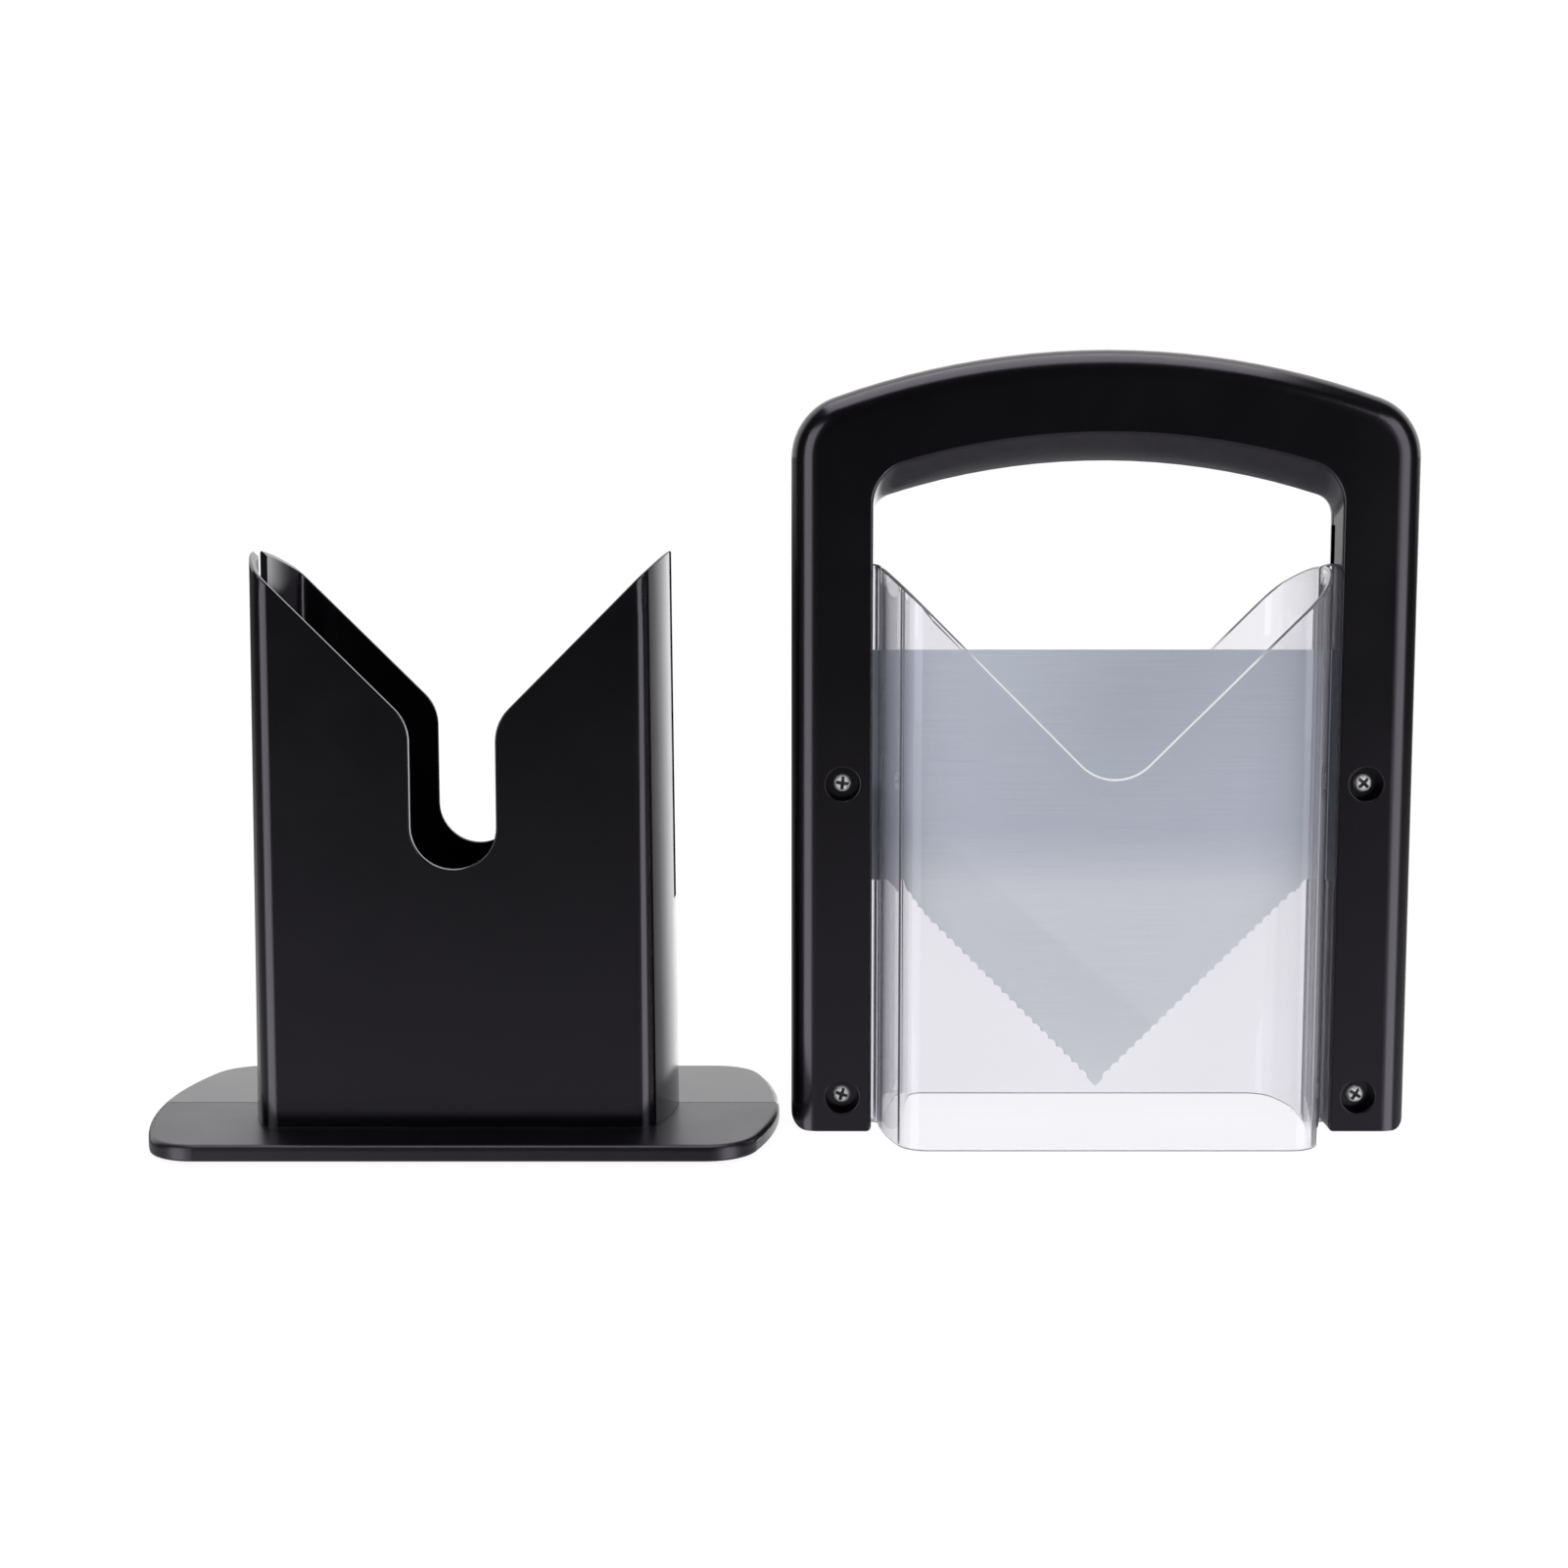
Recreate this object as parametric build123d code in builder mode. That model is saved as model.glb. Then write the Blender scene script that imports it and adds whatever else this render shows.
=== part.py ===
from build123d import *
import os
from math import sqrt

# Lengths are millimetres. +Z is up, the slicer faces -Y, and both halves of the set stand on z = 0:
# the bagel holder on the left, the blade carriage beside it on the right.

# Holder base plate
base_width = 181.0
base_depth = 97.0
base_thickness = 4.6
base_end_bow_radius = 122.0
base_corner_radius = 15.0
base_top_edge_radius = 1.6
base_bottom_edge_radius = 0.8
base_skin = 2.6
recess_end_margin = 32.5
recess_side_margin = 10.0
recess_corner_radius = 10.0
seam_width = 0.35
seam_depth = 0.25

# Holder tube that stands on the base plate
tube_half_width = 60.9
tube_half_depth = 30.2
tube_wall = 2.0
tube_draft = 0.5
tube_end_bow_radius = 72.0
tube_corner_radius = 6.0
vee_meet_height = 107.8
notch_half_width = 12.0
notch_bottom_height = 78.8
notch_shoulder_radius = 13.0
rim_edge_radius = 0.4
blade_slot_width = 11.0
blade_slot_bottom = 67.0

# Curved rest that holds the bagel inside the tube
rest_radius = 60.0
rest_thickness = 2.0
rest_centre_height = 102.0
rest_end_height = 86.0

# Rubber feet
foot_diameter = 12.0
foot_height = 2.4
foot_proud = 0.8
foot_edge_radius = 0.3
foot_end_inset = 19.5
foot_side_inset = 15.0
foot_clearance = 0.05

# Plate under the base that ties its two halves together, and its screws
tie_end_margin = 8.0
tie_side_margin = 15.5
tie_thickness = 1.8
tie_corner_radius = 5.0
tie_screw_end_inset = 10.0
tie_screw_side_inset = 7.0
tie_screw_diameter = 2.9
tie_screw_head_diameter = 5.4
tie_screw_head_height = 1.3
tie_screw_length = 10.0
tie_boss_diameter = 7.5
tie_boss_height = 9.0
tie_boss_roof = 1.5

# Blade carriage: handle frame moulded in a front and a rear shell
frame_height = 223.1
frame_half_thickness = 12.5
frame_guard_gap = 2.0
post_width = 23.0
frame_arch_radius = 230.0
frame_corner_radius = 18.0
frame_foot_outer_radius = 4.5
frame_foot_inner_radius = 1.5
frame_outer_edge_radius = 8.0
frame_inner_edge_radius = 0.9
frame_seam_width = 0.3
frame_seam_depth = 0.25
grip_bar_height = 23.5
grip_corner_radius = 12.0
grip_middle_corner_radius = 7.0
grip_drop = 7.3
grip_depth_shares = (0.0, 0.3, 0.65, 1.0)
grip_front_drop_shares = (1.0, 0.8, 0.42, 0.0)
grip_rear_drop_shares = (1.0, 0.9, 0.55, 0.0)
grip_rear_flare = 3.5
grip_rear_flare_shares = (0.0, 0.0, 0.36, 1.0)
shell_wall = 4.0
shell_face = 3.5
shell_foot_wall = 4.0
arch_pocket_skin = 2.5
clamp_slot_end_gap = 0.5
clamp_slot_top = 174.0
clamp_clearance = 0.05

# Blade
blade_thickness = 1.2
blade_end_inset = 9.5
blade_top_height = 138.4
blade_tip_height = 10.6
blade_shoulder_height = 71.7
serration_top_height = 68.0
blade_grind = 0.2
serration_count = 25
serration_depth = 0.85

# Clear guards in front of and behind the blade
guard_wall = 1.5
guard_side_clearance = 1.6
guard_face_clearance = 2.8
guard_end_bow_radius = 85.0
guard_corner_radius = 9.0
guard_height = 163.0
guard_vee_meet_height = 99.3
guard_vee_bottom_radius = 13.0
guard_vee_top_radius = 5.0
guard_rim_radius = 0.6
guard_foot_edge_radius = 0.35
guard_flange_root_radius = 1.4

# Screws that clamp the handle shells on the blade and the guards
screw_side_inset = 14.6
screw_low_height = 10.1
screw_high_height = 100.8
screw_diameter = 2.9
screw_length = 13.0
screw_point_length = 1.6
screw_tip_diameter = 0.8
screw_head_diameter = 5.2
screw_head_height = 1.9
screw_head_edge_radius = 0.7
screw_head_recess = 3.3
counterbore_diameter = 9.8
counterbore_rim_radius = 0.3
screw_boss_diameter = 13.0
spigot_diameter = 6.4
spigot_clearance = 0.25
spigot_end_gap = 0.2
screw_hole_clearance = 0.15
thread_clearance = 0.03
thread_end_gap = 0.8
cross_width = 0.9
cross_length = 3.6
cross_depth = 1.2

# How far a cutter runs past the face that it cuts
overrun = 2.0
# Free space between the holder's base plate and the carriage beside it
side_gap = 3.5

base_top = foot_proud + base_thickness
guard_half_width = tube_half_width + guard_side_clearance + guard_wall
guard_half_depth = tube_half_depth + guard_face_clearance + guard_wall
frame_opening_half_width = guard_half_width + frame_guard_gap
frame_width = 2 * (frame_opening_half_width + post_width)
total_width = base_width + side_gap + frame_width
holder_x = (base_width - total_width) / 2
carriage_x = (total_width - frame_width) / 2
holder_plan = Plane(origin=(holder_x, 0, 0))
holder_front = Plane(origin=(holder_x, 0, 0), x_dir=(1, 0, 0), z_dir=(0, -1, 0))
carriage_plan = Plane(origin=(carriage_x, 0, 0))
carriage_front = Plane(origin=(carriage_x, 0, 0), x_dir=(1, 0, 0), z_dir=(0, -1, 0))

tube_height = vee_meet_height + tube_half_width + overrun - base_top
recess_width = base_width - 2 * recess_end_margin
recess_depth = base_depth - 2 * recess_side_margin
tie_width = recess_width - 2 * tie_end_margin
tie_depth = recess_depth - 2 * tie_side_margin
tie_screw_spacing_x = tie_width - 2 * tie_screw_end_inset
tie_screw_spacing_y = tie_depth - 2 * tie_screw_side_inset
tie_top = base_top - base_skin
tie_bottom = tie_top - tie_thickness
tie_thread_height = base_top + tie_boss_height - tie_boss_roof
arch_centre_height = frame_height - frame_arch_radius
grip_face_radius = frame_arch_radius - grip_bar_height
arch_pocket_radius = grip_face_radius + arch_pocket_skin
post_centre = frame_opening_half_width + post_width / 2
blade_half_width = frame_width / 2 - blade_end_inset
clamp_slot_half_width = blade_half_width + clamp_slot_end_gap
screw_half_spacing = frame_width / 2 - screw_side_inset
foot_spacing_x = base_width - 2 * foot_end_inset
foot_spacing_y = base_depth - 2 * foot_side_inset
pocket_depth = frame_half_thickness - shell_face
clamp_face = blade_thickness / 2 + guard_wall + clamp_clearance
screw_seat = frame_half_thickness - screw_head_recess - screw_head_height
spigot_hole_radius = spigot_diameter / 2 + spigot_clearance
serration_pitch = sqrt(2) * (serration_top_height - blade_tip_height) / serration_count
serration_radius = (serration_pitch**2 / 4 + serration_depth**2) / (2 * serration_depth)
serration_offset = (serration_radius - serration_depth) / sqrt(2)
corners = {"front_left": (-1, -1), "front_right": (1, -1), "rear_left": (-1, 1), "rear_right": (1, 1)}
screw_names = ("lower_left", "lower_right", "upper_left", "upper_right")
screw_points = [(side * screw_half_spacing, z) for z in (screw_low_height, screw_high_height) for side in (-1, 1)]


def bowed_outline(half_width, half_depth, bow_radius, corner_radius):
    """Rectangle with straight long sides, outward-bowed short ends and rounded corners."""
    corner_x = half_width - bow_radius + sqrt(bow_radius**2 - half_depth**2)
    with BuildSketch() as outline:
        with BuildLine():
            Line((-corner_x, -half_depth), (corner_x, -half_depth))
            ThreePointArc((corner_x, -half_depth), (half_width, 0), (corner_x, half_depth))
            Line((corner_x, half_depth), (-corner_x, half_depth))
            ThreePointArc((-corner_x, half_depth), (-half_width, 0), (-corner_x, -half_depth))
        make_face()
        fillet(outline.vertices(), corner_radius)
    return outline.sketch


def tube_outline(inset):
    """The tube's plan at the base plate, drawn in by a given distance."""
    return bowed_outline(
        tube_half_width - inset,
        tube_half_depth - inset,
        tube_end_bow_radius - inset,
        tube_corner_radius - inset,
    )


def arch_height(radius, x):
    """Height of a circular arch of the handle at the distance x from its middle."""
    return arch_centre_height + sqrt(radius**2 - x**2)


def arched_outline(half_width, bottom, arch_radius, corner_radius):
    """Upright outline with straight sides, an arched top and rounded top corners."""
    shoulder_height = arch_height(arch_radius, half_width)
    crown_height = arch_height(arch_radius, 0)
    with BuildSketch() as outline:
        with BuildLine():
            Line((-half_width, bottom), (-half_width, shoulder_height))
            ThreePointArc((-half_width, shoulder_height), (0, crown_height), (half_width, shoulder_height))
            Line((half_width, shoulder_height), (half_width, bottom))
            Line((half_width, bottom), (-half_width, bottom))
        make_face()
        fillet(outline.vertices().group_by(Axis.Y)[-1], corner_radius)
    return outline.sketch


def guard_outline(inset):
    """The guards' plan at the blade, drawn in by a given distance."""
    return bowed_outline(
        guard_half_width - inset,
        guard_half_depth - inset,
        guard_end_bow_radius - inset,
        guard_corner_radius - inset,
    )


def grip_outline(drop_share, flare):
    """Opening of the handle at one depth: how far its arch has dropped and its sides have spread."""
    corner_radius = grip_corner_radius + drop_share * (grip_middle_corner_radius - grip_corner_radius)
    return arched_outline(
        frame_opening_half_width + flare,
        -overrun,
        grip_face_radius - drop_share * grip_drop,
        corner_radius,
    )


def rim_edges(builder, lowest):
    """Edges along the cut top of a thin wall, taken from the faces that lie above a height."""
    rims = ShapeList()
    for face in builder.faces().filter_by(lambda face: face.bounding_box().min.Z > lowest):
        for edge in face.edges():
            tangent = edge.tangent_at(0)
            runs_across_wall = edge.geom_type == GeomType.LINE and abs(tangent.Y) > abs(tangent.Z) + abs(tangent.X)
            if not runs_across_wall:
                rims.append(edge)
    return rims


def is_inner_corner(vertex):
    """A foot's corner beside the opening."""
    return abs(abs(vertex.X) - frame_opening_half_width) < overrun


def is_opening_edge(edge):
    """An edge of the handle's opening, apart from where it runs out at the feet."""
    box = edge.bounding_box()
    return abs(box.center().X - carriage_x) < frame_opening_half_width + overrun and box.max.Z > overrun


def is_vee_shoulder(vertex):
    """The corner where the guards' V meets their level top."""
    return abs(vertex.X) < frame_opening_half_width and abs(vertex.Y - guard_height) < overrun


def is_flange_root(edge):
    """The upright corner outside the guards where a flange leaves the side wall."""
    beside_wall = abs(abs(edge.center().X - carriage_x) - guard_half_width) < guard_wall / 2
    return beside_wall and abs(edge.center().Y) < 2 * guard_wall


def is_counterbore_rim(edge):
    """A circle as wide as the counterbores."""
    return abs(edge.radius - counterbore_diameter / 2) < thread_clearance


# Base plate with a shallow recess under its middle and sockets for the feet
with BuildPart() as base_blank:
    with BuildSketch(holder_plan.offset(foot_proud)):
        add(bowed_outline(base_width / 2, base_depth / 2, base_end_bow_radius, base_corner_radius))
    extrude(amount=base_thickness)
    fillet(base_blank.faces().sort_by(Axis.Z)[-1].edges(), base_top_edge_radius)
    fillet(base_blank.faces().sort_by(Axis.Z)[0].edges(), base_bottom_edge_radius)
    with BuildSketch(holder_plan.offset(foot_proud)):
        RectangleRounded(recess_width, recess_depth, recess_corner_radius)
    extrude(amount=base_thickness - base_skin, mode=Mode.SUBTRACT)
    with BuildSketch(holder_plan.offset(foot_proud)):
        with GridLocations(foot_spacing_x, foot_spacing_y, 2, 2):
            Circle(foot_diameter / 2 + foot_clearance)
    extrude(amount=foot_height - foot_proud, mode=Mode.SUBTRACT)

# Curved bagel rest, to be cut open along the middle where the blade passes
with BuildPart() as rest_blank:
    with BuildSketch(holder_front):
        with Locations((0, rest_centre_height)):
            Circle(rest_radius + rest_thickness)
            Circle(rest_radius, mode=Mode.SUBTRACT)
        with Locations((0, rest_end_height)):
            Rectangle(base_width, base_width, align=(Align.CENTER, Align.MIN), mode=Mode.SUBTRACT)
    extrude(amount=tube_half_depth, both=True)
    with BuildSketch(holder_plan.offset(base_top)):
        add(tube_outline(tube_wall / 2))
    extrude(amount=tube_height, taper=tube_draft, mode=Mode.INTERSECT)

# Tube with its finger notch and its V-shaped top, before the blade slots are cut
with BuildPart() as tube_blank:
    with BuildSketch(holder_plan.offset(base_top)):
        add(tube_outline(0))
    extrude(amount=tube_height, taper=tube_draft)
    with BuildSketch(holder_plan.offset(base_top)):
        add(tube_outline(tube_wall))
    extrude(amount=tube_height + overrun, taper=tube_draft, mode=Mode.SUBTRACT)
    with BuildSketch(holder_front) as vee:
        notch_centre = notch_bottom_height + notch_half_width
        notch_top = vee_meet_height + notch_half_width
        vee_top = vee_meet_height + base_width / 2
        with BuildLine():
            ThreePointArc(
                (-notch_half_width, notch_centre), (0, notch_bottom_height), (notch_half_width, notch_centre)
            )
            Line((notch_half_width, notch_centre), (notch_half_width, notch_top))
            Line((notch_half_width, notch_top), (base_width / 2, vee_top))
            Line((base_width / 2, vee_top), (-base_width / 2, vee_top))
            Line((-base_width / 2, vee_top), (-notch_half_width, notch_top))
            Line((-notch_half_width, notch_top), (-notch_half_width, notch_centre))
        make_face()
        fillet(vee.vertices().group_by(Axis.Y)[1], notch_shoulder_radius)
    extrude(amount=base_depth, both=True, mode=Mode.SUBTRACT)
    fillet(rim_edges(tube_blank, blade_slot_bottom), rim_edge_radius)

# Fine groove where the two halves meet, round the tube's sides and across the base plate
with BuildPart() as seam_waste:
    with BuildSketch(holder_plan.offset(base_top)):
        Rectangle(base_width, seam_width)
    extrude(amount=tube_height)
    with BuildSketch(holder_plan.offset(base_top)):
        add(tube_outline(seam_depth))
    extrude(amount=tube_height, taper=tube_draft, mode=Mode.SUBTRACT)
    with BuildSketch(holder_plan.offset(base_top - seam_depth)):
        Rectangle(base_width, seam_width)
        Rectangle(2 * (tube_half_width - seam_depth), seam_width, mode=Mode.SUBTRACT)
    extrude(amount=seam_depth)

# Whole holder before it is parted: base plate, tube, bagel rest and screw bosses
with BuildPart() as holder_blank:
    add(tube_blank.part)
    add(base_blank.part)
    add(rest_blank.part)
    with BuildSketch(holder_plan.offset(base_top)):
        with GridLocations(tie_screw_spacing_x, tie_screw_spacing_y, 2, 2):
            Circle(tie_boss_diameter / 2)
    extrude(amount=tie_boss_height)
    with BuildSketch(holder_front):
        with Locations((0, blade_slot_bottom)):
            Rectangle(base_width, tube_height, align=(Align.CENTER, Align.MIN))
    extrude(amount=blade_slot_width / 2, both=True, mode=Mode.SUBTRACT)
    with BuildSketch(holder_plan.offset(base_top)):
        Rectangle(2 * (tube_half_width - 2 * tube_wall), blade_slot_width)
    extrude(amount=tube_height, mode=Mode.SUBTRACT)
    add(seam_waste.part, mode=Mode.SUBTRACT)
    with BuildSketch(holder_plan):
        with GridLocations(tie_screw_spacing_x, tie_screw_spacing_y, 2, 2):
            Circle(tie_screw_diameter / 2 + thread_clearance)
    extrude(amount=tie_thread_height, mode=Mode.SUBTRACT)

with BuildPart() as front_cradle_half:
    add(holder_blank.part)
    split(bisect_by=Plane.XZ, keep=Keep.TOP)

with BuildPart() as rear_cradle_half:
    add(holder_blank.part)
    split(bisect_by=Plane.XZ, keep=Keep.BOTTOM)

# Tie plate in the recess under the base, countersunk for its four screws
with BuildPart() as bottom_tie_plate:
    with BuildSketch(holder_plan.offset(tie_bottom)):
        RectangleRounded(tie_width, tie_depth, tie_corner_radius)
    extrude(amount=tie_thickness)
    with Locations(holder_plan.offset(tie_bottom)):
        with GridLocations(tie_screw_spacing_x, tie_screw_spacing_y, 2, 2):
            Cylinder(
                tie_screw_diameter / 2 + screw_hole_clearance,
                2 * tie_thickness + overrun,
                mode=Mode.SUBTRACT,
            )
            Cone(
                tie_screw_head_diameter / 2 + screw_hole_clearance,
                tie_screw_diameter / 2 + screw_hole_clearance,
                tie_screw_head_height,
                align=(Align.CENTER, Align.CENTER, Align.MIN),
                mode=Mode.SUBTRACT,
            )

# Rubber feet in the sockets of the base plate
feet = {}
for name, (side, depth) in corners.items():
    with BuildPart() as foot:
        with BuildSketch(holder_plan):
            with Locations((side * foot_spacing_x / 2, depth * foot_spacing_y / 2)):
                Circle(foot_diameter / 2)
        extrude(amount=foot_height)
        fillet(foot.faces().sort_by(Axis.Z)[0].edges(), foot_edge_radius)
    feet["rubber_foot_" + name] = foot

# Countersunk screws that hold the tie plate, driven from below
tie_screws = {}
for name, (side, depth) in corners.items():
    with BuildPart() as tie_screw:
        with Locations(holder_plan.offset(tie_bottom)):
            with Locations((side * tie_screw_spacing_x / 2, depth * tie_screw_spacing_y / 2)):
                Cone(
                    tie_screw_head_diameter / 2,
                    tie_screw_diameter / 2,
                    tie_screw_head_height,
                    align=(Align.CENTER, Align.CENTER, Align.MIN),
                )
                Cylinder(
                    tie_screw_diameter / 2,
                    tie_screw_length,
                    align=(Align.CENTER, Align.CENTER, Align.MIN),
                )
        with BuildSketch(holder_plan.offset(tie_bottom)):
            with Locations((side * tie_screw_spacing_x / 2, depth * tie_screw_spacing_y / 2)):
                Rectangle(cross_length, cross_width)
                Rectangle(cross_width, cross_length)
        extrude(amount=cross_depth, mode=Mode.SUBTRACT)
    tie_screws["tie_screw_" + name] = tie_screw

# Handle frame before it is parted: outer shape with rounded front and rear edges
with BuildPart() as frame_blank:
    with BuildSketch(carriage_front):
        add(arched_outline(frame_width / 2, 0, frame_arch_radius, frame_corner_radius))
    extrude(amount=frame_half_thickness, both=True)
    face_edges = frame_blank.faces().sort_by(Axis.Y)[0].edges() + frame_blank.faces().sort_by(Axis.Y)[-1].edges()
    fillet(face_edges.filter_by(lambda edge: edge.bounding_box().max.Z > overrun), frame_outer_edge_radius)
    # The opening narrows towards the mid-plane, so that the grip is rounded underneath
    for depth_share, drop_share in zip(grip_depth_shares, grip_front_drop_shares):
        with BuildSketch(carriage_front.offset(depth_share * frame_half_thickness)):
            add(grip_outline(drop_share, 0))
    loft(mode=Mode.SUBTRACT)
    rear_sections = zip(grip_depth_shares, grip_rear_drop_shares, grip_rear_flare_shares)
    for depth_share, drop_share, flare_share in rear_sections:
        with BuildSketch(carriage_front.offset(-depth_share * frame_half_thickness)):
            add(grip_outline(drop_share, flare_share * grip_rear_flare))
    loft(mode=Mode.SUBTRACT)
    front_face = frame_blank.faces().sort_by(Axis.Y)[0]
    fillet(front_face.edges().filter_by(is_opening_edge), frame_inner_edge_radius)
    # Rounded corners of the two feet
    with BuildSketch(carriage_front) as foot_profile:
        with Locations((0, frame_corner_radius)):
            Rectangle(frame_width, frame_height, align=(Align.CENTER, Align.MIN))
        with Locations((-post_centre, 0), (post_centre, 0)):
            Rectangle(post_width, 2 * frame_corner_radius, align=(Align.CENTER, Align.MIN))
        foot_corners = foot_profile.vertices().group_by(Axis.Y)[0].sort_by(Axis.X)
        fillet((foot_corners[0], foot_corners[-1]), frame_foot_outer_radius)
        foot_corners = foot_profile.vertices().group_by(Axis.Y)[0].sort_by(Axis.X)
        fillet(foot_corners.filter_by(is_inner_corner), frame_foot_inner_radius)
    extrude(amount=frame_half_thickness, both=True, mode=Mode.INTERSECT)
    # Fine groove where the two shells meet, outside and in the opening
    with BuildSketch(carriage_front):
        Rectangle(2 * frame_width, 3 * frame_height)
        add(
            arched_outline(
                frame_width / 2 - frame_seam_depth,
                frame_seam_depth,
                frame_arch_radius - frame_seam_depth,
                frame_corner_radius - frame_seam_depth,
            ),
            mode=Mode.SUBTRACT,
        )
        add(grip_outline(1 - frame_seam_depth / grip_drop, frame_seam_depth))
    extrude(amount=frame_seam_width / 2, both=True, mode=Mode.SUBTRACT)

# Hollow handle frame with screw bosses and the slot that takes the blade and the guards
with BuildPart() as hollow_frame:
    add(frame_blank.part)
    with BuildSketch(carriage_front):
        add(
            arched_outline(
                frame_width / 2 - shell_wall,
                shell_foot_wall,
                frame_arch_radius - shell_wall,
                frame_corner_radius - shell_wall,
            )
        )
        add(
            arched_outline(
                frame_opening_half_width + shell_wall,
                -overrun,
                arch_pocket_radius,
                grip_corner_radius + arch_pocket_skin,
            ),
            mode=Mode.SUBTRACT,
        )
    extrude(amount=pocket_depth, both=True, mode=Mode.SUBTRACT)
    with BuildSketch(carriage_front):
        with Locations(screw_points):
            Circle(screw_boss_diameter / 2)
    extrude(amount=pocket_depth + shell_face / 2, both=True)
    with BuildSketch(carriage_front):
        with Locations((0, -overrun)):
            Rectangle(2 * clamp_slot_half_width, clamp_slot_top + overrun, align=(Align.CENTER, Align.MIN))
    extrude(amount=clamp_face, both=True, mode=Mode.SUBTRACT)

with BuildPart() as handle_front_shell:
    add(hollow_frame.part)
    split(bisect_by=Plane.XZ, keep=Keep.TOP)
    with BuildSketch(carriage_front):
        with Locations(screw_points):
            Circle(screw_diameter / 2 + screw_hole_clearance)
    extrude(amount=frame_half_thickness, mode=Mode.SUBTRACT)
    with BuildSketch(carriage_front.offset(screw_seat)):
        with Locations(screw_points):
            Circle(counterbore_diameter / 2)
    extrude(amount=frame_half_thickness - screw_seat, mode=Mode.SUBTRACT)
    front_face = handle_front_shell.faces().sort_by(Axis.Y)[0]
    fillet(front_face.edges().filter_by(GeomType.CIRCLE).filter_by(is_counterbore_rim), counterbore_rim_radius)

with BuildPart() as handle_rear_shell:
    add(hollow_frame.part)
    split(bisect_by=Plane.XZ, keep=Keep.BOTTOM)
    with BuildSketch(carriage_front.offset(-pocket_depth)):
        with Locations(screw_points):
            Circle(spigot_diameter / 2)
    extrude(amount=pocket_depth + clamp_face - spigot_end_gap)
    with BuildSketch(carriage_front.offset(screw_seat - screw_length - thread_end_gap)):
        with Locations(screw_points):
            Circle(screw_diameter / 2 + thread_clearance)
    extrude(amount=screw_length, mode=Mode.SUBTRACT)

# Blade with a scalloped V edge; each scallop is ground wider on the front face, and the first pitch on
# each side of the tip is left plain, so that the tip is a point
scallop_centres = []
for i in range(1, serration_count):
    along = blade_tip_height + (i + 0.5) * (serration_top_height - blade_tip_height) / serration_count
    reach = along - blade_tip_height + serration_offset
    scallop_centres.append((reach, along - serration_offset))
    scallop_centres.append((-reach, along - serration_offset))
edge_half_width = blade_shoulder_height - blade_tip_height
with BuildPart() as blade:
    with BuildSketch(carriage_front):
        with BuildLine():
            Polyline(
                (-blade_half_width, blade_top_height),
                (-blade_half_width, blade_shoulder_height),
                (-edge_half_width, blade_shoulder_height),
                (0, blade_tip_height),
                (edge_half_width, blade_shoulder_height),
                (blade_half_width, blade_shoulder_height),
                (blade_half_width, blade_top_height),
                close=True,
            )
        make_face()
        with Locations(screw_points[-2:]):
            Circle(spigot_hole_radius, mode=Mode.SUBTRACT)
    extrude(amount=blade_thickness / 2, both=True)
    with Locations(carriage_front):
        with Locations(scallop_centres):
            Cone(serration_radius, serration_radius + blade_grind, blade_thickness, mode=Mode.SUBTRACT)

# Pair of clear guards with their clamping flanges, before they are parted
with BuildPart() as guard_pair:
    with BuildSketch(carriage_plan):
        add(guard_outline(0))
        add(guard_outline(guard_wall), mode=Mode.SUBTRACT)
    extrude(amount=guard_height)
    with BuildSketch(carriage_front):
        Rectangle(2 * blade_half_width, guard_height, align=(Align.CENTER, Align.MIN))
        Rectangle(
            2 * (guard_half_width - guard_wall),
            guard_height,
            align=(Align.CENTER, Align.MIN),
            mode=Mode.SUBTRACT,
        )
        with Locations(screw_points):
            Circle(spigot_hole_radius, mode=Mode.SUBTRACT)
    extrude(amount=blade_thickness / 2 + guard_wall, both=True)
    fillet(guard_pair.edges().filter_by(Axis.Z).filter_by(is_flange_root), guard_flange_root_radius)
    with BuildSketch(carriage_front) as guard_vee:
        vee_half_width = guard_height - guard_vee_meet_height
        with BuildLine():
            Polyline(
                (0, guard_vee_meet_height),
                (vee_half_width, guard_height),
                (frame_width / 2, guard_height),
                (frame_width / 2, frame_height),
                (-frame_width / 2, frame_height),
                (-frame_width / 2, guard_height),
                (-vee_half_width, guard_height),
                close=True,
            )
        make_face()
        fillet(guard_vee.vertices().sort_by(Axis.Y)[0], guard_vee_bottom_radius)
        fillet(guard_vee.vertices().filter_by(is_vee_shoulder), guard_vee_top_radius)
    extrude(amount=guard_half_depth + overrun, both=True, mode=Mode.SUBTRACT)
    with BuildSketch(carriage_front):
        Rectangle(frame_width, 2 * frame_height)
    extrude(amount=blade_thickness / 2, both=True, mode=Mode.SUBTRACT)
    fillet(rim_edges(guard_pair, guard_vee_meet_height), guard_rim_radius)
    fillet(guard_pair.edges().group_by(Axis.Z)[0], guard_foot_edge_radius)

with BuildPart() as front_guard:
    add(guard_pair.part)
    split(bisect_by=Plane.XZ, keep=Keep.TOP)

with BuildPart() as rear_guard:
    add(guard_pair.part)
    split(bisect_by=Plane.XZ, keep=Keep.BOTTOM)

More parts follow.
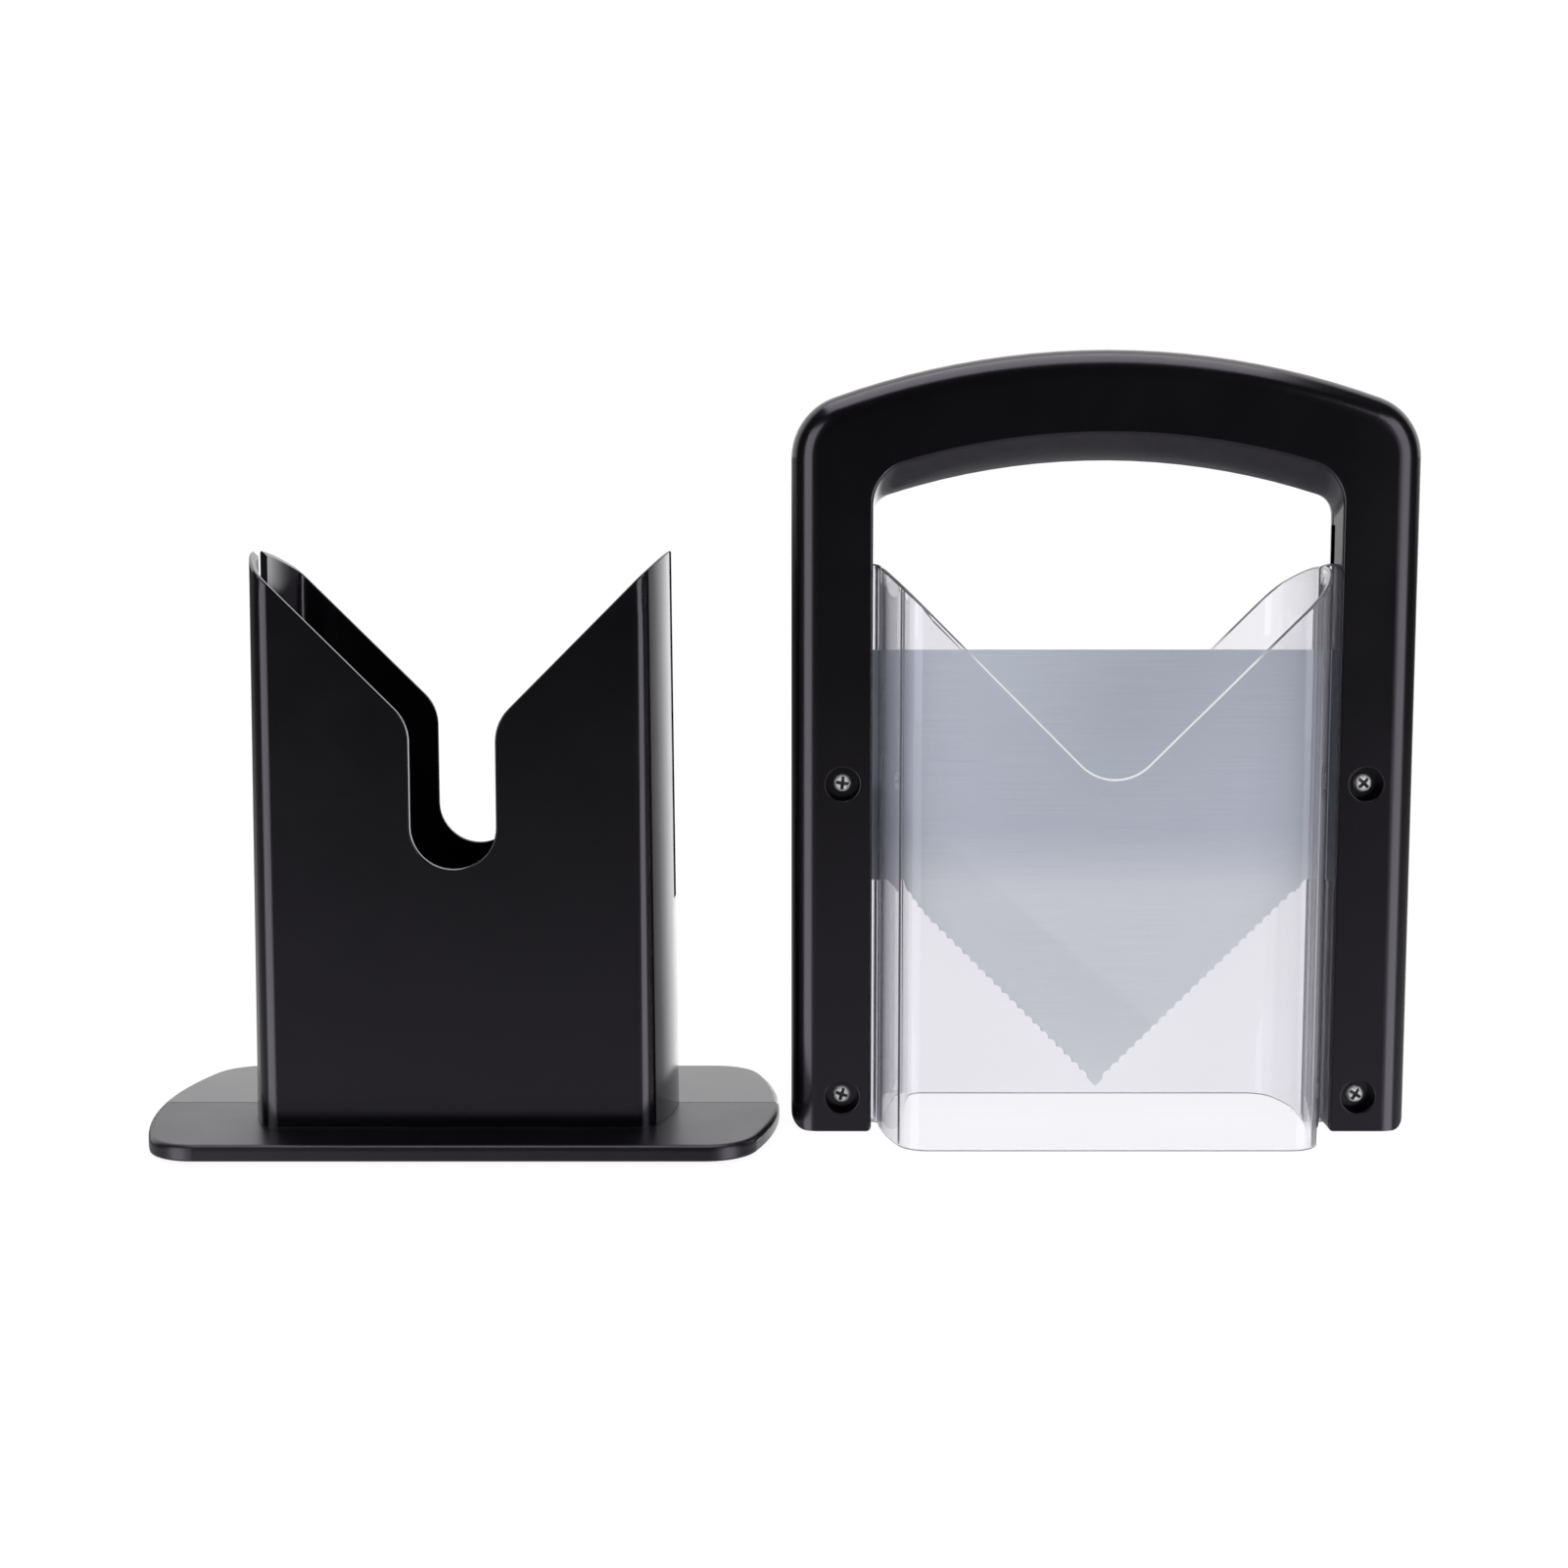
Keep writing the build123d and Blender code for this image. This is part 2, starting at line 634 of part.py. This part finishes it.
# Pan-head screws, driven from the front
handle_screws = {}
for name, (x, z) in zip(screw_names, screw_points):
    with BuildPart() as handle_screw:
        with Locations(carriage_front.offset(screw_seat)):
            with Locations((x, z)):
                Cylinder(screw_head_diameter / 2, screw_head_height, align=(Align.CENTER, Align.CENTER, Align.MIN))
        fillet(handle_screw.faces().sort_by(Axis.Y)[0].edges(), screw_head_edge_radius)
        with Locations(carriage_front.offset(screw_seat)):
            with Locations((x, z)):
                Cylinder(
                    screw_diameter / 2,
                    screw_length - screw_point_length,
                    align=(Align.CENTER, Align.CENTER, Align.MAX),
                )
        with Locations(carriage_front.offset(screw_seat - screw_length + screw_point_length)):
            with Locations((x, z)):
                Cone(
                    screw_tip_diameter / 2,
                    screw_diameter / 2,
                    screw_point_length,
                    align=(Align.CENTER, Align.CENTER, Align.MAX),
                )
        with BuildSketch(carriage_front.offset(screw_seat + screw_head_height)):
            with Locations((x, z)):
                Rectangle(cross_length, cross_width)
                Rectangle(cross_width, cross_length)
        extrude(amount=-cross_depth, mode=Mode.SUBTRACT)
    handle_screws["handle_screw_" + name] = handle_screw

pieces = {
    "front_cradle_half": front_cradle_half,
    "rear_cradle_half": rear_cradle_half,
    "bottom_tie_plate": bottom_tie_plate,
    "handle_front_shell": handle_front_shell,
    "handle_rear_shell": handle_rear_shell,
    "blade": blade,
    "front_guard": front_guard,
    "rear_guard": rear_guard,
}
pieces.update(feet)
pieces.update(tie_screws)
pieces.update(handle_screws)

os.makedirs("parts", exist_ok=True)
for name, piece in pieces.items():
    piece.part.label = name
    export_step(piece.part, "parts/" + name + ".step")
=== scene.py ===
from math import pi, radians

import bpy
import numpy as np
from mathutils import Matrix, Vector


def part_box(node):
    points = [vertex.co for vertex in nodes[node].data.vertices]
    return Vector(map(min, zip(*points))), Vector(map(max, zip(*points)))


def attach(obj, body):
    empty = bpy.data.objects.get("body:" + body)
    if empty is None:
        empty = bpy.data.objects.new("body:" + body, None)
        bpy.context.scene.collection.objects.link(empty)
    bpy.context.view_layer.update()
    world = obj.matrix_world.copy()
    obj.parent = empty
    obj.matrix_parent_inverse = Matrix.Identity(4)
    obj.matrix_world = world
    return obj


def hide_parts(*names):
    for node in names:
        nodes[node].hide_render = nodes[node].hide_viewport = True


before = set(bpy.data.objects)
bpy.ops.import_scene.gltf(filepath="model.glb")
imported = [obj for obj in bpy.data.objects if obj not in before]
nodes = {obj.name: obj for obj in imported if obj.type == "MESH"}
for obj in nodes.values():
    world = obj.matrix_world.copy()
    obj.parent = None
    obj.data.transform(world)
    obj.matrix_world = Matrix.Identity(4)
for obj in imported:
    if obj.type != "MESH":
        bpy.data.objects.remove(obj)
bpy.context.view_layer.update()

# Bagel holder: two mirror-image halves of glossy black ABS, injection moulded in a polished mould.
# Each half carries half of the base plate, half of the V-topped tube and one curved rest.


def linear(hex_colour):
    """Linear RGBA of an sRGB hex colour: c / 12.92 below 0.04045, else ((c + 0.055) / 1.055) ** 2.4."""
    channels = np.array([int(hex_colour[i : i + 2], 16) for i in (1, 3, 5)]) / 255
    curve = np.where(channels <= 0.04045, channels / 12.92, ((channels + 0.055) / 1.055) ** 2.4)
    return (*curve.tolist(), 1.0)


def add_node(owner, kind, inputs=None, **settings):
    """Adds a node to a material or world. Inputs are sockets by name or number, and each is given a
    value or the output of another node."""
    node = owner.node_tree.nodes.new(kind)
    for name, value in settings.items():
        setattr(node, name, value)
    for socket, value in (inputs or {}).items():
        if isinstance(value, bpy.types.NodeSocket):
            owner.node_tree.links.new(value, node.inputs[socket])
        else:
            node.inputs[socket].default_value = value
    return node


def position(owner):
    """Object coordinates of the point that is shaded, in metres."""
    return add_node(owner, "ShaderNodeTexCoord").outputs["Object"]


def parts_of(owner, vector):
    """The X, Y and Z outputs of a vector."""
    return add_node(owner, "ShaderNodeSeparateXYZ", {0: vector}).outputs


def calculate(owner, operation, first, second=0.0):
    """Result of one operation of arithmetic on one or two values."""
    return add_node(owner, "ShaderNodeMath", {0: first, 1: second}, operation=operation).outputs[0]


def ramp(owner, value, span, result=(0.0, 1.0), curve="LINEAR"):
    """Carries a value from a span over to the range of the result and holds it at the ends."""
    ends = {"From Min": span[0], "From Max": span[1], "To Min": result[0], "To Max": result[1]}
    node = add_node(owner, "ShaderNodeMapRange", {"Value": value, **ends}, interpolation_type=curve)
    return node.outputs[0]


def blend(owner, share, first, second):
    """Mixes two colours by the share of the second, through the colour sockets of a Mix node."""
    first_socket, second_socket, result_socket = 6, 7, 2
    inputs = {0: share, first_socket: first, second_socket: second}
    return add_node(owner, "ShaderNodeMix", inputs, data_type="RGBA").outputs[result_socket]


def noise(owner, vector, size, detail=2.0, roughness=0.5):
    """Soft noise from 0 to 1 whose patches have about the given size."""
    inputs = {"Vector": vector, "Scale": 1 / size, "Detail": detail, "Roughness": roughness}
    return add_node(owner, "ShaderNodeTexNoise", inputs).outputs[0]


def relief(owner, pattern, depth, strength=1.0):
    """Normal of a surface that a pattern raises by up to the depth."""
    inputs = {"Height": pattern, "Strength": strength, "Distance": depth}
    return add_node(owner, "ShaderNodeBump", inputs).outputs[0]


def empty_material(name):
    """A material with a node tree that is still empty."""
    material = bpy.data.materials.new(name)
    material.use_nodes = True
    material.node_tree.nodes.clear()
    return material


def surface(material, inputs, **others):
    """Ends a material in a Principled surface, and in any other outputs such as its volume."""
    shader = add_node(material, "ShaderNodeBsdfPrincipled", inputs)
    add_node(material, "ShaderNodeOutputMaterial", {"Surface": shader.outputs[0], **others})


def finish_with(material, *names):
    """Puts a material on every slot of the named CAD nodes."""
    for name in names:
        mesh = nodes[name].data
        mesh.materials.clear()
        mesh.materials.append(material)


haze_patch_size = 0.03
haze_span = (0.35, 0.7)


def uneven_roughness(material, vector, least, most):
    """Roughness that varies between two values in soft patches."""
    patches = noise(material, vector, haze_patch_size, detail=3.0, roughness=0.6)
    return ramp(material, patches, haze_span, (least, most))


def black_abs(material, roughness, normal):
    """Ends a material as black ABS, whose gloss has a touch of violet."""
    look = {"Base Color": linear("#030304"), "IOR": 1.54, "Specular Tint": linear("#f6edff")}
    surface(material, {**look, "Roughness": roughness, "Normal": normal})


# A polished mould leaves a high gloss, with the faint long waves of cooled ABS
gloss_abs = empty_material("gloss_moulded_abs")
place = position(gloss_abs)
wave_length = 0.014
wave_depth = 0.00003
waves = noise(gloss_abs, place, wave_length, detail=1.0, roughness=0.4)
ripple = relief(gloss_abs, waves, wave_depth)
haze = uneven_roughness(gloss_abs, place, 0.18, 0.22)
# The front of the base plate is drawn a little duller than the rest, up to the seam across it
base_top = 0.0054
base_zone_top = 1.1 * base_top
seam_width = 0.0002
added_roughness = 0.15
axes = parts_of(gloss_abs, place)
in_front = ramp(gloss_abs, axes["Y"], (-seam_width, 0.0), (added_roughness, 0.0))
on_base = calculate(gloss_abs, "LESS_THAN", axes["Z"], base_zone_top)
duller = calculate(gloss_abs, "MULTIPLY", in_front, on_base)
black_abs(gloss_abs, calculate(gloss_abs, "ADD", haze, duller), ripple)
finish_with(gloss_abs, "front_cradle_half", "rear_cradle_half", "bottom_tie_plate")

# Feet: four moulded discs of black nitrile rubber pressed into sockets under the base plate.
# They are matt, with a fine grain.
rubber = empty_material("moulded_nitrile_rubber")
rubber_grain_size = 0.0006
rubber_pit_depth = 0.00005
grain = noise(rubber, position(rubber), rubber_grain_size)
pits = relief(rubber, grain, rubber_pit_depth, strength=0.6)
surface(rubber, {"Base Color": linear("#141414"), "Roughness": 0.72, "IOR": 1.52, "Normal": pits})
finish_with(rubber, *[name for name in nodes if name.startswith("rubber_foot")])

# Handle: front and rear shell of black ABS with the satin finish of a finely blasted mould.
# Four screws through the front shell pull the two together on the blade and the guards.
satin_abs = empty_material("satin_moulded_abs")
place = position(satin_abs)
blasting_grain_size = 0.0004
blasting_depth = 0.00001
grain = noise(satin_abs, place, blasting_grain_size)
texture = relief(satin_abs, grain, blasting_depth, strength=0.3)
black_abs(satin_abs, uneven_roughness(satin_abs, place, 0.19, 0.23), texture)
finish_with(satin_abs, "handle_front_shell", "handle_rear_shell")

# Blade: 1.2 mm stainless sheet, ground lengthwise, with a scalloped V edge ground from the front.
# The grinding belt leaves fine lines along the sheet that spread reflections up and down.
ground_steel = empty_material("ground_stainless_steel")
place = position(ground_steel)
# The lines are drawn farther apart than a belt's grit leaves them, so that they show
belt_line_pitch = 0.0005
belt_line_length = 0.03
belt_line_depth = 0.00001
belt_line_span = (0.3, 0.7)
steel_roughness = (0.7, 0.78)
per_line = (1 / belt_line_length, 1 / belt_line_length, 1 / belt_line_pitch)
belt = add_node(ground_steel, "ShaderNodeMapping", {"Vector": place, "Scale": per_line})
lines = noise(ground_steel, belt.outputs[0], 1, detail=3.0, roughness=0.6)
# The lower part is drawn paler: a painted reflection of the bright floor, which the lower sheet mirrors
paler_part_top = 0.0765
paler_blend_width = 0.012
paler_blend_span = (paler_part_top - paler_blend_width, paler_part_top + paler_blend_width)
upper_steel_colour = linear("#babfc9")
painted_floor_reflection_colour = linear("#d3d5da")
height = parts_of(ground_steel, place)["Z"]
floor_reflection_share = ramp(ground_steel, height, paler_blend_span, (1.0, 0.0), "SMOOTHSTEP")
along_sheet = add_node(ground_steel, "ShaderNodeCombineXYZ", {"X": 1.0}).outputs[0]
surface(
    ground_steel,
    {
        "Base Color": blend(ground_steel, floor_reflection_share, upper_steel_colour, painted_floor_reflection_colour),
        "Metallic": 1.0,
        "Roughness": ramp(ground_steel, lines, belt_line_span, steel_roughness),
        "Anisotropic": 0.3,
        "Tangent": along_sheet,
        "Normal": relief(ground_steel, lines, belt_line_depth, strength=0.25),
    },
)
finish_with(ground_steel, "blade")

# Guards: two U-shaped covers of clear styrene-acrylonitrile, 1.5 mm thick, glossy on both sides.
# Their flanges lie on the blade inside the handle; their rounded rims are drawn whitish as a painted edge
# glow, and grey in places as painted shade.
clear_san = empty_material("clear_moulded_styrene")
coordinates = add_node(clear_san, "ShaderNodeTexCoord").outputs
facing_z = parts_of(clear_san, coordinates["Normal"])["Z"]
steepness = calculate(clear_san, "ABSOLUTE", facing_z)
# Light passes the walls; where a rim turns up or down it is drawn less clear and white, a painted glow of
# the light that the sheet pipes to its rims
rim_steepness = (0.02, 0.15)
wall_clearness, rim_clearness = 0.97, 0.35
clearness = ramp(clear_san, steepness, rim_steepness, (wall_clearness, rim_clearness))
# A rim is drawn dark grey underneath and above the blade's top, as painted shade for the dark lines that
# polished rims show against white, and stays pale in front of the blade
underside_facing = (-0.12, -0.02)
underside = ramp(clear_san, facing_z, underside_facing, (1.0, 0.0))
blade_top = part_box("blade")[1][2]
above_blade_span = (blade_top - 0.002, blade_top + 0.004)
upper_grey_share = 0.85
height = parts_of(clear_san, coordinates["Object"])["Z"]
above_blade = ramp(clear_san, height, above_blade_span, (0.0, upper_grey_share))
upper_rim = calculate(clear_san, "MULTIPLY", above_blade, ramp(clear_san, steepness, rim_steepness))
painted_rim_shade = calculate(clear_san, "MAXIMUM", underside, upper_rim)
# Clear through the wall, violet-grey where light runs along inside it; the density is per metre
tint = add_node(clear_san, "ShaderNodeVolumeAbsorption", {"Color": linear("#a29cc0"), "Density": 122.0})
surface(
    clear_san,
    {
        "Base Color": blend(clear_san, painted_rim_shade, linear("#fdfdfd"), linear("#24222c")),
        "Roughness": 0.0,
        "IOR": 1.5,
        "Specular Tint": linear("#b4b4c0"),
        "Transmission Weight": clearness,
    },
    Volume=tint.outputs[0],
)
finish_with(clear_san, "front_guard", "rear_guard")
# The clear walls cast no shadow, so that light from the lamps reaches the blade
nodes["front_guard"].visible_shadow = False
nodes["rear_guard"].visible_shadow = False

# Screws of the handle: zinc-plated self-tapping screws with pan heads and a cross recess, pressed
# and thread-rolled. Those under the base plate are plated the same way.
# The plating is drawn mostly as a bright matt coat, as metal would mirror the room's dark front.
zinc = empty_material("zinc_plated_steel")
zinc_crystal_size = 0.0012
zinc_span = (0.3, 0.7)
zinc_roughness = (0.5, 0.65)
crystals = noise(zinc, position(zinc), zinc_crystal_size)
dull = ramp(zinc, crystals, zinc_span, zinc_roughness)
surface(zinc, {"Base Color": linear("#fbfafa"), "Metallic": 0.2, "Roughness": dull})
finish_with(zinc, *[name for name in nodes if name.startswith("tie_screw")])

# The recess is drawn in dark grey steel as painted shade, so that the cross shows
recess_shade_steel = empty_material("painted_recess_shade")
surface(recess_shade_steel, {"Base Color": linear("#4a4c52"), "Metallic": 1.0, "Roughness": 0.5})

screw_head_height = 0.0019
screw_shank_radius = 0.00145
screw_core_radius = 0.0011
screw_thread_pitch = 0.0011
screw_point_length = 0.0016
cross_arm_width = 0.00095
cross_arm_length = 0.0038
cross_depth = 0.0011
cross_wall = 0.00015
# Where the recess is shallower than this, it is drawn plated, and deeper it takes the painted shade
cross_shade_depth = cross_depth / 6
screw_columns = 64
screw_head_rows = 30
screw_shank_rows = 80


def cross_recess(x, y):
    """Depth of the recess: two arms at right angles, each a slot with sloping walls that gets shallower
    outwards, and the deeper of the two counts."""

    def arm(along, across):
        sides = np.clip((cross_arm_width / 2 - abs(across)) / cross_wall, 0, 1)
        ends = np.clip((cross_arm_length / 2 - abs(along)) / cross_wall, 0, 1)
        return sides * ends * (1 - abs(along) / cross_arm_length)

    return cross_depth * np.maximum(arm(x, y), arm(y, x))


def screw_surface(low, high, turn):
    """Grid of a pan-head screw between the corners of its box, its head at the front, and the points of
    it that lie in the recess.

    From the middle of the head outwards: the head's height is that at the middle times
    sqrt(1 - (r / R) ** 4), less the recess. Its flat underside follows, then a shank whose radius is the
    square of a triangle wave of length over pitch plus angle, and a point that narrows to the axis."""
    head_radius = (high[0] - low[0]) / 2
    shank_length = high[1] - low[1] - screw_head_height
    angle = np.linspace(0, 2 * pi, screw_columns, endpoint=False)
    spread = np.sin(np.linspace(0, pi / 2, screw_head_rows))[:, None]
    head_r = head_radius * spread * np.ones_like(angle)
    dome = screw_head_height * np.sqrt(np.clip(1 - spread**4, 0, 1))
    recess = cross_recess(head_r * np.cos(angle + turn), head_r * np.sin(angle + turn))
    head_y = -dome + recess * (dome > 0)
    along = np.linspace(0, shank_length, screw_shank_rows)[:, None]
    phase = (along / screw_thread_pitch + angle / (2 * pi)) % 1
    ridge = (1 - 2 * abs(phase - 0.5)) ** 2
    taper = np.clip((shank_length - along) / screw_point_length, 0, 1)
    shank_r = taper * (screw_core_radius + (screw_shank_radius - screw_core_radius) * ridge)
    in_recess = np.concatenate([recess > cross_shade_depth, np.zeros(shank_r.shape, dtype=bool)])
    radius = np.concatenate([head_r, shank_r])
    depth = np.concatenate([head_y, along + 0 * angle]) + low[1] + screw_head_height
    x = (low[0] + high[0]) / 2 + radius * np.cos(angle)
    z = (low[2] + high[2]) / 2 + radius * np.sin(angle)
    return np.stack([x, depth, z], axis=-1), in_recess


def turned_mesh(name, grid, marked):
    """Mesh of a grid whose columns close round an axis, with its first and last row drawn to a point.
    Faces that start at a marked point take the second material."""
    rows, columns = grid.shape[:2]
    points = np.concatenate([grid[0, :1], grid[1:-1].reshape(-1, 3), grid[-1, :1]])
    column = np.arange(columns)
    following = (column + 1) % columns
    ring = np.arange(rows - 3)[:, None] * columns + 1
    next_ring = ring + columns
    walls = np.stack([ring + column, next_ring + column, next_ring + following, ring + following], axis=-1)
    last_ring = 1 + (rows - 3) * columns
    front = np.stack([0 * column, 1 + column, 1 + following], axis=-1)
    back = np.stack([last_ring + column, 0 * column + len(points) - 1, last_ring + following], axis=-1)
    faces = walls.reshape(-1, 4).tolist() + front.tolist() + back.tolist()
    mesh = bpy.data.meshes.new(name)
    mesh.from_pydata(points.tolist(), [], faces)
    mesh.polygons.foreach_set("use_smooth", np.ones(len(faces), dtype=bool))
    second = np.concatenate([marked[1:-2].ravel(), marked[0], 0 * column])
    mesh.polygons.foreach_set("material_index", second.astype(np.int32))
    return mesh


# Each head is turned by its own angle, in radians
screw_turns = {"lower_left": 0.35, "lower_right": 0.6, "upper_left": 0.15, "upper_right": 0.8}
for place_name, turn in screw_turns.items():
    node_name = "handle_screw_" + place_name
    low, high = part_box(node_name)
    grid, in_recess = screw_surface(low, high, turn)
    mesh = turned_mesh("pan_head_screw_" + place_name, grid, in_recess)
    mesh.materials.append(zinc)
    mesh.materials.append(recess_shade_steel)
    screw = bpy.data.objects.new("pan_head_screw_" + place_name, mesh)
    bpy.context.scene.collection.objects.link(screw)
    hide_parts(node_name)
    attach(screw, "blade_carriage")

# Studio: a sheet of white paper, a broad lamp overhead and a tall softbox on each side, which draws
# the highlights down the rounded edges. Of the paper, only bounced light reaches the slicer: it casts no
# shadow, and gloss sees the room below it, where the softboxes go on.
floor_mesh = bpy.data.meshes.new("studio_floor")
left, right = -6.0, 6.0
corners = [(left, left, 0), (right, left, 0), (right, right, 0), (left, right, 0)]
floor_mesh.from_pydata(corners, [], [(0, 1, 2, 3)])
floor = bpy.data.objects.new("studio_floor", floor_mesh)
bpy.context.scene.collection.objects.link(floor)
floor.visible_glossy = False
floor.visible_shadow = False


def in_plain_sight(owner):
    """1 for the camera's own rays and for those that only clear plastic has passed on, else 0."""
    path = add_node(owner, "ShaderNodeLightPath").outputs
    bounces = calculate(owner, "ADD", path["Glossy Depth"], path["Diffuse Depth"])
    straight = calculate(owner, "LESS_THAN", bounces, 0.5)
    clear = calculate(owner, "MULTIPLY", path["Is Transmission Ray"], straight)
    return calculate(owner, "MAXIMUM", path["Is Camera Ray"], clear)


# In plain sight the paper is a dim sheet with a glow of its own, which grows with the distance from
# the slicer as the lamps' light falls off
paper = empty_material("white_paper_sheet")
lamplit_reach = (0.3, 1.1)
paper_glow = (0.93, 1.0)
lit_paper = add_node(paper, "ShaderNodeBsdfDiffuse", {"Color": linear("#c0c0c0")}).outputs[0]
seen_paper = add_node(paper, "ShaderNodeBsdfDiffuse", {"Color": linear("#656565")}).outputs[0]
reach = add_node(paper, "ShaderNodeVectorMath", {0: position(paper)}, operation="LENGTH")
whiteness = ramp(paper, reach.outputs["Value"], lamplit_reach, paper_glow)
glow = add_node(paper, "ShaderNodeEmission", {"Color": linear("#ffffff"), "Strength": whiteness})
seen_white = add_node(paper, "ShaderNodeAddShader", {0: seen_paper, 1: glow.outputs[0]}).outputs[0]
either = add_node(paper, "ShaderNodeMixShader", {0: in_plain_sight(paper), 1: lit_paper, 2: seen_white})
add_node(paper, "ShaderNodeOutputMaterial", {"Surface": either.outputs[0]})
floor_mesh.materials.append(paper)

# Room: dark in front and at the sides, with a bright wall behind above the table. Below the table's
# level only a panel behind, a little to the right, is lit, and the light grows again towards the floor.
room = bpy.data.worlds.new("studio_room")
bpy.context.scene.world = room
room.use_nodes = True
room.node_tree.nodes.clear()


def either_light(share, first, second):
    """Mixes two brightnesses of the room by the share of the second."""
    return add_node(room, "ShaderNodeMix", {"Factor": share, "A": first, "B": second}).outputs[0]


dark_level = 0.045
direction = add_node(room, "ShaderNodeTexCoord").outputs["Generated"]
towards = parts_of(room, direction)
wall_edge = (0.26, 0.45)
wall_level = 1.17
wall_light = ramp(room, towards["Y"], wall_edge, (dark_level, wall_level), "SMOOTHSTEP")
panel_bearing = (0.242, 0.970, 0)
panel_edge = (0.84, 1.0)
panel_level = 2.1
panel = add_node(room, "ShaderNodeVectorMath", {0: direction, 1: panel_bearing}, operation="DOT_PRODUCT")
panel_light = ramp(room, panel.outputs["Value"], panel_edge, (0.0, panel_level))
table_edge = (-0.03, 0.1)
above_table = ramp(room, towards["Z"], table_edge, curve="SMOOTHSTEP")
behind = either_light(above_table, panel_light, wall_light)
floor_edge = (-0.3, -0.02)
floor_level = 0.54
underfoot = ramp(room, towards["Z"], floor_edge, (floor_level, dark_level), "SMOOTHSTEP")
around = calculate(room, "MAXIMUM", behind, underfoot)
# Through clear plastic the four walls are white, and the corners between them and the ceiling are dark
corner_edge = (0.75, 0.92)
corner_level = 0.12
eastward = calculate(room, "ABSOLUTE", towards["X"])
northward = calculate(room, "ABSOLUTE", towards["Y"])
nearest_wall = calculate(room, "MAXIMUM", eastward, northward)
walls = ramp(room, nearest_wall, corner_edge, (corner_level, 1.0), "SMOOTHSTEP")
camera_ray = add_node(room, "ShaderNodeLightPath").outputs["Is Camera Ray"]
backdrop = either_light(camera_ray, walls, 1.0)
brightness = either_light(in_plain_sight(room), around, backdrop)
light = add_node(room, "ShaderNodeBackground", {"Color": linear("#ffffff"), "Strength": brightness})
add_node(room, "ShaderNodeOutputWorld", {"Surface": light.outputs[0]})

softbox_radiance = 2.8

def softbox(name, width, height, place, target):
    """Rectangular lamp of even radiance whose -Z axis points at a target: its power is pi times
    radiance times area."""
    lamp = bpy.data.lights.new(name, "AREA")
    lamp.shape = "RECTANGLE"
    lamp.size = width
    lamp.size_y = height
    lamp.energy = pi * softbox_radiance * width * height
    thing = bpy.data.objects.new(name, lamp)
    bpy.context.scene.collection.objects.link(thing)
    thing.visible_camera = False
    thing.location = place
    offset = np.array(target) - np.array(place)
    level = float(np.hypot(offset[0], offset[1]))
    tilt = float(np.arctan2(level, -offset[2]))
    turn = float(np.arctan2(-offset[0], offset[1]))
    thing.rotation_euler = (tilt, 0, turn)


softbox_distance = 1.4
softbox_width = 0.82
softbox_height = 2.2
left_bearing = radians(48)
right_bearing = radians(50.5)
overhead_height = 1.3
overhead_width = 1.2
overhead_depth = 1.0
# A lamp that hangs straight down has no bearing, so its target lies a hair to the rear
hair = 0.001
softbox("overhead_softbox", overhead_width, overhead_depth, (0, 0, overhead_height), (0, hair, 0))
left_place = (-softbox_distance * np.sin(left_bearing), -softbox_distance * np.cos(left_bearing), 0)
softbox("left_softbox", softbox_width, softbox_height, left_place, (0, 0, 0))
right_place = (softbox_distance * np.sin(right_bearing), -softbox_distance * np.cos(right_bearing), 0)
softbox("right_softbox", softbox_width, softbox_height, right_place, (0, 0, 0))

# Camera: a 54 mm lens on a 36 mm sensor, 0.68 m in front of the blade and tilted 6.4 degrees down
camera_data = bpy.data.cameras.new("camera")
camera_data.lens = 54.07
camera_data.sensor_width = 36.0
camera_data.shift_x = -0.0047
camera_data.clip_start = 0.01
camera = bpy.data.objects.new("camera", camera_data)
bpy.context.scene.collection.objects.link(camera)
camera.location = (0.00325, -0.67725, 0.17528)
camera.rotation_euler = (radians(83.617), 0, 0)
bpy.context.scene.camera = camera

bpy.context.scene.view_settings.view_transform = "Standard"
